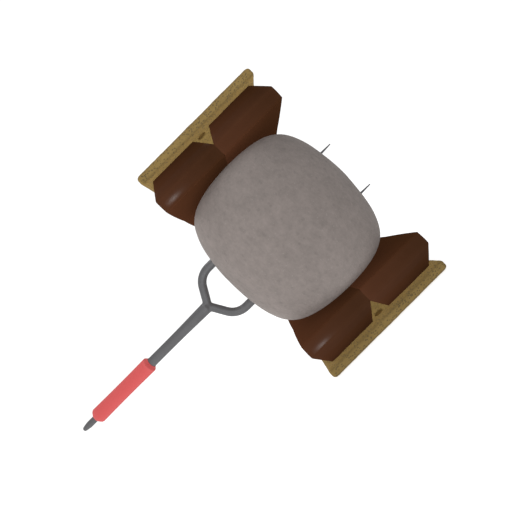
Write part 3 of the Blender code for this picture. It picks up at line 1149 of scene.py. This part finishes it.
# Name, place from the middle of the stack and size in millimetres, power in watts, whether it casts
# shadows. The two gleams show as streaks on the chocolate.
LAMPS = (
    ("top_lamp", (0.0, 0.0, 220.0), 120.0, 0.10, True),
    ("upper_gleam", (-60.0, -400.0, 124.0), 12.0, 0.068, False),
    ("lower_gleam", (-57.0, -400.0, -171.0), 12.0, 0.069, False),
)
# Name, direction that the light comes from, its strength and a word in the names of the pieces it reaches.
FILLS = (
    ("upper_slope_fill", (0.0, -0.5, 0.87), 0.8, "upper"),
    ("lower_slope_fill", (0.0, -0.5, -0.87), 1.1, "lower"),
    ("upper_wall_fill", (0.0, -1.0, 0.0), 0.75, "upper"),
    ("lower_wall_fill", (0.0, -1.0, 0.0), 0.5, "lower"),
    ("upper_base_fill", (-0.1, -0.2, -0.97), 2.5, "upper"),
    ("lower_base_fill", (-0.1, -0.2, 0.97), 2.5, "lower"),
    ("top_cracker_fill", (0.0, 0.5, -0.87), 3.9, "top"),
    ("bottom_cracker_fill", (0.0, 0.5, 0.87), 3.0, "bottom"),
    ("top_rim_fill", (0.0, -0.6, 0.8), 0.65, "top"),
    ("upper_shoulder_fill", (0.0, 0.35, 0.94), 1.35, "marshmallow"),
    ("lower_shoulder_fill", (0.0, 0.35, -0.94), 1.6, "marshmallow"),
    ("fork_fill", (0.9, -0.4, 0.0), 1.2, "fork"),
    ("back_wall_fill", (0.0, 1.0, 0.0), 0.4, "chocolate"),
    ("prong_side_fill", (1.0, 0.0, 0.0), 0.9, "chocolate"),
    ("upper_back_fill", (0.0, 0.5, 0.87), 0.8, "upper"),
    ("lower_back_fill", (0.0, 0.5, -0.87), 1.1, "lower"),
)
CAMERA_OFFSET = Vector((-19.3, -168.1, 0.0)) * MM
AIM_OFFSET = Vector((-20.0, 0.0, 0.75)) * MM
CAMERA_ROLL = math.radians(-45)
CAMERA_LENS = 23.456
CAMERA_NEAR = 10.0 * MM
FLOOR_RADIUS = 4.0
FLOOR_SIDES = 128
DOME_STRENGTH = 0.97
LIGHT_PULL = (-0.405, 0.0, -0.265)
MIRRORED_SHARE = 0.46
BACKDROP_STRENGTH = 1.1
WHITE = (1.0, 1.0, 1.0, 1.0)
FLOOR_LOOK = {
    "Base Color": (0.6, 0.6, 0.6, 1.0),
    "Roughness": 0.9,
    "Specular IOR Level": 0.0,
    "Emission Color": WHITE,
    "Emission Strength": 0.75,
}
# How the names of the visible pieces that fills light begin.
MADE = ("baked_", "moulded_", "plump_", "toasting_")


def make_camera():
    """Level with the middle of the stack and close to it, rolled by an eighth of a turn."""
    camera = bpy.data.objects.new("camera", bpy.data.cameras.new("camera"))
    camera.data.lens = CAMERA_LENS
    camera.data.clip_start = CAMERA_NEAR
    camera.location = STACK_CENTRE + CAMERA_OFFSET
    look_along = AIM_OFFSET - CAMERA_OFFSET
    camera.rotation_mode = "QUATERNION"
    roll = Quaternion((0.0, 0.0, 1.0), CAMERA_ROLL)
    camera.rotation_quaternion = look_along.to_track_quat("-Z", "Y") @ roll
    bpy.context.scene.collection.objects.link(camera)
    bpy.context.scene.camera = camera


def make_floor():
    """A wide pale floor that glows a little, so that it stays pale around the stack."""
    material = bpy.data.materials.new("pale_floor")
    material.use_nodes = True
    shader = material.node_tree.nodes["Principled BSDF"]
    for label, value in FLOOR_LOOK.items():
        shader.inputs[label].default_value = value
    shape = bmesh.new()
    bmesh.ops.create_circle(shape, cap_ends=True, segments=FLOOR_SIDES, radius=FLOOR_RADIUS)
    mesh = mesh_from_shape("floor", shape, material)
    floor = bpy.data.objects.new("floor", mesh)
    floor.visible_diffuse = False
    floor.visible_glossy = False
    bpy.context.scene.collection.objects.link(floor)


def make_studio_light():
    """Soft light from all round, stronger from the handle's side and from below, before plain white."""
    world = bpy.data.worlds.new("studio")
    bpy.context.scene.world = world
    world.use_nodes = True
    steps = Steps(world.node_tree)
    direction = steps.take("ShaderNodeTexCoord", output="Generated")
    lit = steps.vector("DOT_PRODUCT", direction, LIGHT_PULL) + DOME_STRENGTH
    dome = world.node_tree.nodes["Background"]
    dome.inputs["Color"].default_value = WHITE
    steps.feed(dome.inputs["Strength"], lit)
    shown = dome.outputs["Background"]
    for way, strength in (("Is Glossy Ray", lit * MIRRORED_SHARE), ("Is Camera Ray", BACKDROP_STRENGTH)):
        plain = steps.take("ShaderNodeBackground", {"Color": WHITE, "Strength": strength})
        chosen = steps.take("ShaderNodeLightPath", output=way)
        shown = steps.take("ShaderNodeMixShader", {"Fac": chosen, 1: shown, 2: plain})
    steps.feed(world.node_tree.nodes["World Output"].inputs["Surface"], shown)


def add_light(name, kind, direction):
    """A light that isn't seen by the camera, placed and aimed from a direction."""
    light = bpy.data.lights.new(name, kind)
    lamp = bpy.data.objects.new(name, light)
    lamp.visible_camera = False
    lamp.location = STACK_CENTRE + direction
    lamp.rotation_mode = "QUATERNION"
    lamp.rotation_quaternion = (-direction).to_track_quat("-Z", "Y")
    bpy.context.scene.collection.objects.link(lamp)
    return lamp


def make_lamp(name, offset, size, power, shadow):
    """A square soft lamp aimed at the middle of the stack."""
    lamp = add_light(name, "AREA", Vector(offset) * MM)
    lamp.data.size = size * MM
    lamp.data.energy = power
    lamp.data.use_shadow = shadow


def make_fill(name, direction, strength, word):
    """Even light, without shadow or gleam, on the visible pieces that have a word in their names."""
    lamp = add_light(name, "SUN", Vector(direction))
    lamp.data.energy = strength
    lamp.data.use_shadow = False
    lamp.visible_glossy = False
    lit = bpy.data.collections.new(name)
    for piece in bpy.data.objects:
        if piece.name.startswith(MADE) and word in piece.name:
            lit.objects.link(piece)
    lamp.light_linking.receiver_collection = lit


# Operators


class MakeCrackers(bpy.types.Operator):
    """Make the two docked crackers"""

    bl_idname = "smore.make_crackers"
    bl_label = "Crackers"

    def execute(self, context):
        look = context.scene.smore_cracker
        material = cracker_material(look)
        tree = cracker_tree()
        for node, seed in (("cracker_bottom", look.seed), ("cracker_top", look.seed + 1)):
            centre = centre_of(node)
            inwards = math.copysign(1.0, STACK_CENTRE.z - centre.z)
            values = {size: getattr(look, size) for size in CRACKER_SIZES}
            values |= {
                "side": size_of(node).x + 2 * look.spread,
                "thickness": size_of(node).z + look.puff,
                "seed": float(seed),
                "centre": centre + Vector((0.0, 0.0, inwards * look.puff / 2)),
                "material": material,
            }
            add_piece("baked_" + node, mesh_from_tree(tree, node, values), [node])
        return {"FINISHED"}


class MakeChocolate(bpy.types.Operator):
    """Make the eight moulded chocolate squares"""

    bl_idname = "smore.make_chocolate"
    bl_label = "Chocolate"

    def execute(self, context):
        look = context.scene.smore_chocolate
        material = chocolate_material(look)
        nodes = sorted(name for name in frame["nodes"] if name.startswith("chocolate_"))
        if not nodes:
            raise RuntimeError("The packed model has no chocolate squares.")
        noise.seed_set(look.seed)
        for node in nodes:
            add_piece("moulded_" + node, chocolate_mesh(node, look, material), [node])
        return {"FINISHED"}


class MakeMarshmallow(bpy.types.Operator):
    """Make the marshmallow"""

    bl_idname = "smore.make_marshmallow"
    bl_label = "Marshmallow"

    def execute(self, context):
        look = context.scene.smore_marshmallow
        fork = context.scene.smore_fork
        even_end, _ = prong_corners(fork, 1)[-2]
        values = {size: getattr(look, size) for size in MARSHMALLOW_SIZES}
        # The lumps bring the skin back out to its full width.
        values |= {
            "radius": size_of("marshmallow").y / 2 - look.lumps / 3,
            "half_height": size_of("marshmallow").z / 2 + REACH_OVER,
            "prong_height": even_end.z - STACK_CENTRE.z,
            "seed": float(look.seed),
            "centre": STACK_CENTRE,
            "material": marshmallow_material(look),
        }
        mesh = mesh_from_tree(marshmallow_tree(), "marshmallow", values)
        add_piece("plump_marshmallow", mesh, ["marshmallow"])
        return {"FINISHED"}


class MakeFork(bpy.types.Operator):
    """Make the toasting fork"""

    bl_idname = "smore.make_fork"
    bl_label = "Fork"

    def execute(self, context):
        look = context.scene.smore_fork
        add_piece("toasting_fork", fork_mesh(look, steel_material(look)), ["fork"])
        return {"FINISHED"}


class MakeSleeve(bpy.types.Operator):
    """Make the red sleeve on the fork's rod"""

    bl_idname = "smore.make_sleeve"
    bl_label = "Sleeve"

    def execute(self, context):
        look = context.scene.smore_fork
        add_piece("red_sleeve", sleeve_mesh(look, sleeve_material(look)), ["handle"])
        return {"FINISHED"}


class MakeStage(bpy.types.Operator):
    """Make the floor, the lights and the camera"""

    bl_idname = "smore.make_stage"
    bl_label = "Stage"

    def execute(self, context):
        context.scene.view_settings.view_transform = "Standard"
        make_camera()
        make_floor()
        make_studio_light()
        for lamp in LAMPS:
            make_lamp(*lamp)
        for fill in FILLS:
            make_fill(*fill)
        return {"FINISHED"}


OPERATORS = (MakeCrackers, MakeChocolate, MakeMarshmallow, MakeFork, MakeSleeve, MakeStage)


class SmorePanel(bpy.types.Panel):
    """Lists the pieces of the s'more"""

    bl_idname = "VIEW3D_PT_smore"
    bl_label = "S'more"
    bl_space_type = "VIEW_3D"
    bl_region_type = "UI"
    bl_category = "S'more"

    def draw(self, context):
        for operator in OPERATORS:
            self.layout.operator(operator.bl_idname)
        for settings in LOOKS:
            box = self.layout.box()
            look = getattr(context.scene, settings)
            box.label(text=look.bl_rna.description)
            for name in look.__annotations__:
                box.prop(look, name)


LOOKS = {
    "smore_cracker": CrackerLook,
    "smore_chocolate": ChocolateLook,
    "smore_marshmallow": MarshmallowLook,
    "smore_fork": ForkLook,
}
CLASSES = (*LOOKS.values(), *OPERATORS, SmorePanel)


def register():
    """Make the pieces' settings, operators and panel known to Blender."""
    for new_class in CLASSES:
        bpy.utils.register_class(new_class)
    for name, settings in LOOKS.items():
        setattr(bpy.types.Scene, name, PointerProperty(type=settings))


def unregister():
    """Take away what register added."""
    for name in LOOKS:
        delattr(bpy.types.Scene, name)
    for old_class in reversed(CLASSES):
        bpy.utils.unregister_class(old_class)


def main():
    """Make every piece and the stage, in order."""
    register()
    bpy.ops.smore.make_crackers()
    bpy.ops.smore.make_chocolate()
    bpy.ops.smore.make_marshmallow()
    bpy.ops.smore.make_fork()
    bpy.ops.smore.make_sleeve()
    bpy.ops.smore.make_stage()


if __name__ == "__main__":
    main()
